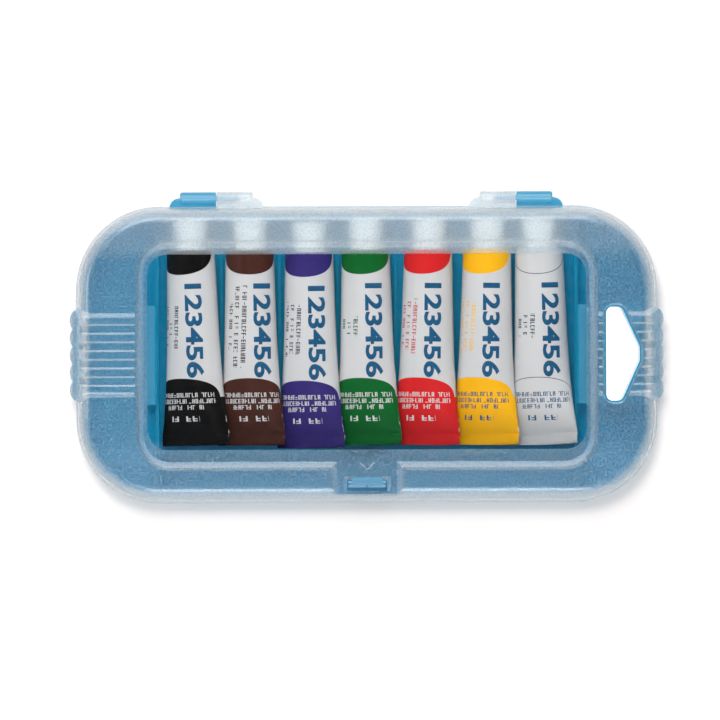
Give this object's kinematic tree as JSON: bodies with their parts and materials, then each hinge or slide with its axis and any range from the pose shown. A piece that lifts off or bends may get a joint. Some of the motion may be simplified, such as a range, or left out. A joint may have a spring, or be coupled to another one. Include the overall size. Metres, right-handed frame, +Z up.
{
  "type": "paint set box",
  "caption": "Flat hinged plastic case with a clear sunk-window lid, front snap latch, end grips and carrying hole, holding a row of gouache tubes with screw caps.",
  "frame": {"origin": "centre of the tray's underside, on the surface it rests on", "axes": "+X towards the carrying-hole end, +Y towards the hinge, +Z up"},
  "size_m": [0.2018, 0.1059, 0.0223],
  "materials": {
    "blue_plastic": "translucent, satin",
    "clear_plastic": "frosted, with a polished window",
    "tube_sleeve": "printed laminate",
    "tube_nozzle": "moulded",
    "tube_cap": "moulded, fluted",
    "paint_black": "wet paint",
    "paint_sienna": "wet paint",
    "paint_blue": "wet paint",
    "paint_green": "wet paint",
    "paint_red": "wet paint",
    "paint_yellow": "wet paint",
    "paint_white": "wet paint"
  },
  "bodies": {
    "base": {"base_tray": "blue_plastic", "tube_black_sleeve": "tube_sleeve", "tube_black_nozzle": "tube_nozzle", "tube_black_paint": "paint_black", "tube_sienna_sleeve": "tube_sleeve", "tube_sienna_nozzle": "tube_nozzle", "tube_sienna_paint": "paint_sienna", "tube_blue_sleeve": "tube_sleeve", "tube_blue_nozzle": "tube_nozzle", "tube_blue_paint": "paint_blue", "tube_green_sleeve": "tube_sleeve", "tube_green_nozzle": "tube_nozzle", "tube_green_paint": "paint_green", "tube_red_sleeve": "tube_sleeve", "tube_red_nozzle": "tube_nozzle", "tube_red_paint": "paint_red", "tube_yellow_sleeve": "tube_sleeve", "tube_yellow_nozzle": "tube_nozzle", "tube_yellow_paint": "paint_yellow", "tube_white_sleeve": "tube_sleeve", "tube_white_nozzle": "tube_nozzle", "tube_white_paint": "paint_white"},
    "lid": {"lid": "clear_plastic"},
    "latch": {"latch_hook": "blue_plastic"},
    "cap_black": {"tube_black_cap": "tube_cap"},
    "cap_sienna": {"tube_sienna_cap": "tube_cap"},
    "cap_blue": {"tube_blue_cap": "tube_cap"},
    "cap_green": {"tube_green_cap": "tube_cap"},
    "cap_red": {"tube_red_cap": "tube_cap"},
    "cap_yellow": {"tube_yellow_cap": "tube_cap"},
    "cap_white": {"tube_white_cap": "tube_cap"}
  },
  "joints": [
    {"name": "lid_hinge", "type": "hinge", "parent": "base", "child": "lid", "pos_m": [0, 0.0534, 0.0125], "axis": [-1, 0, 0], "range_deg": [0, 180]},
    {"name": "latch_flex", "type": "hinge", "parent": "base", "child": "latch", "pos_m": [0, -0.04365, 0.0032], "axis": [1, 0, 0], "range_deg": [0, 6], "stiffness_Nm_per_rad": 0.05},
    {"name": "cap_black_turn", "type": "hinge", "parent": "base", "child": "cap_black", "pos_m": [-0.05985, 0.0351, 0.0097], "axis": [-0.0262, 0.9997, 0], "range_deg": [0, 360]},
    {"name": "cap_sienna_turn", "type": "hinge", "parent": "base", "child": "cap_sienna", "pos_m": [-0.03975, 0.0351, 0.0097], "axis": [-0.0087, 1, 0], "range_deg": [0, 360]},
    {"name": "cap_blue_turn", "type": "hinge", "parent": "base", "child": "cap_blue", "pos_m": [-0.0195, 0.0342, 0.0097], "axis": [-0.0087, 1, 0], "range_deg": [0, 360]},
    {"name": "cap_green_turn", "type": "hinge", "parent": "base", "child": "cap_green", "pos_m": [-0.00025, 0.0351, 0.0097], "axis": [-0.0105, 0.9999, 0], "range_deg": [0, 360]},
    {"name": "cap_red_turn", "type": "hinge", "parent": "base", "child": "cap_red", "pos_m": [0.02105, 0.0351, 0.0097], "axis": [0.014, 0.9999, 0], "range_deg": [0, 360]},
    {"name": "cap_yellow_turn", "type": "hinge", "parent": "base", "child": "cap_yellow", "pos_m": [0.0411, 0.0351, 0.0097], "axis": [0.014, 0.9999, 0], "range_deg": [0, 360]},
    {"name": "cap_white_turn", "type": "hinge", "parent": "base", "child": "cap_white", "pos_m": [0.0588, 0.0351, 0.0097], "axis": [-0.0209, 0.9998, 0], "range_deg": [0, 360]}
  ]
}
